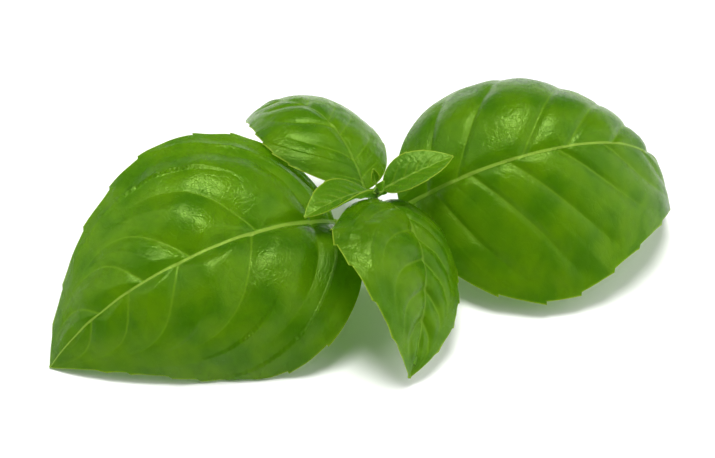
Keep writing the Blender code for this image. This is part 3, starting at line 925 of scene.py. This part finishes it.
YOUNG_DARK = (0.018, 0.080, 0.001)
YOUNG_GREEN = (0.042, 0.135, 0.002)
YOUNG_FRESH = (0.075, 0.180, 0.004)
young_above = leaf_skin("young_leaf_above", YOUNG_DARK, YOUNG_GREEN, YOUNG_FRESH, 0.40, False)
young_below = leaf_skin("young_leaf_below", YOUNG_DARK, YOUNG_GREEN, YOUNG_FRESH, 0.60, True)
SMALL_LEFT = dict(
    cad="small_leaf_left", node=SMALL_NODE, node_radius=SMALL_RADIUS,
    bearing=191.0, stalk=0.0002, stalk_rise=0.0003, stalk_width=0.0017, length=0.0170,
    heading=224.0, swing=-10.0, pitch=28.0, droop=41.0, droop_power=0.8,
    roll=5.0, twist=-14.0, outline=OVATE, rows=100, columns=34,
    swelling=0.00020, swell_run=1.2, vein_depth=0.00010, rib_depth=0.00015,
    rib=0.00022, ripple=0.00005, seed=6,
    left=dict(
        width=0.0050, fold=-14.0, unfold=0.0, curl=-46.0,
        tooth=0.00018, teeth=[0.45, 0.66],
        veins=[(0.12, 0.25, 0.4), (0.28, 0.27, 0.5), (0.45, 0.26, 0.5), (0.62, 0.25, 0.5)],
    ),
    right=dict(
        width=0.0050, fold=-11.0, unfold=0.0, curl=-5.0,
        tooth=0.00018, teeth=[0.50, 0.72],
        veins=[(0.12, 0.25, 0.4), (0.30, 0.27, 0.5), (0.47, 0.26, 0.5), (0.64, 0.25, 0.5)],
    ),
)
grow_leaf("small_basil_leaf_left", SMALL_LEFT, [young_above, young_below])

SMALL_RIGHT = dict(
    cad="small_leaf_right", node=SMALL_NODE, node_radius=SMALL_RADIUS,
    bearing=12.0, stalk=0.0002, stalk_rise=0.0003, stalk_width=0.0017, length=0.0160,
    heading=7.0, swing=21.0, pitch=32.0, droop=27.0, droop_power=0.9,
    roll=15.0, twist=-13.0, outline=OVATE, rows=100, columns=34,
    swelling=0.00020, swell_run=1.2, vein_depth=0.00010, rib_depth=0.00015,
    rib=0.00022, ripple=0.00005, seed=7,
    left=dict(
        width=0.0050, fold=-20.0, unfold=0.0, curl=15.0,
        tooth=0.00018, teeth=[0.48, 0.70],
        veins=[(0.12, 0.25, 0.4), (0.29, 0.27, 0.5), (0.46, 0.26, 0.5), (0.63, 0.25, 0.5)],
    ),
    right=dict(
        width=0.0050, fold=-13.0, unfold=0.0, curl=-16.0,
        tooth=0.00022, teeth=[0.34, 0.55, 0.74],
        veins=[(0.12, 0.25, 0.4), (0.30, 0.27, 0.5), (0.47, 0.26, 0.5), (0.64, 0.25, 0.5)],
    ),
)
grow_leaf("small_basil_leaf_right", SMALL_RIGHT, [young_above, young_below])


# ================================================================ growing tip
# Two scale leaves, each about 3 mm long, stand round the shoot's growing point. They are
# of the same soft green as the small leaves and grow out of the very end of the stem.

BUD_HALF = dict(
    width=0.0011, fold=-30.0, unfold=0.0, curl=-20.0,
    tooth=0.0, teeth=[],
    veins=[(0.2, 0.3, 0.3), (0.5, 0.3, 0.3)],
)
for bud_name, bud_cad, bud_bearing, bud_length, bud_pitch in (
    ("bud_scale_front", "bud_leaf_front", -65.0, 0.0034, 48.0),
    ("bud_scale_back", "bud_leaf_back", 115.0, 0.0030, 52.0),
):
    bud = dict(
        cad=bud_cad, node=STEM_END, node_radius=TIP_RADIUS,
        bearing=bud_bearing, stalk=0.0001, stalk_rise=0.0003, stalk_width=0.0005,
        length=bud_length, heading=bud_bearing, swing=0.0, pitch=bud_pitch, droop=-34.0,
        droop_power=1.0, roll=0.0, twist=0.0, outline=OVATE, rows=50, columns=20,
        swelling=0.00006, swell_run=1.0, vein_depth=0.00003, rib_depth=0.00004, rib=0.00012,
        ripple=0.00002, seed=1, left=BUD_HALF, right=BUD_HALF,
    )
    grow_leaf(bud_name, bud, [young_above, young_below])
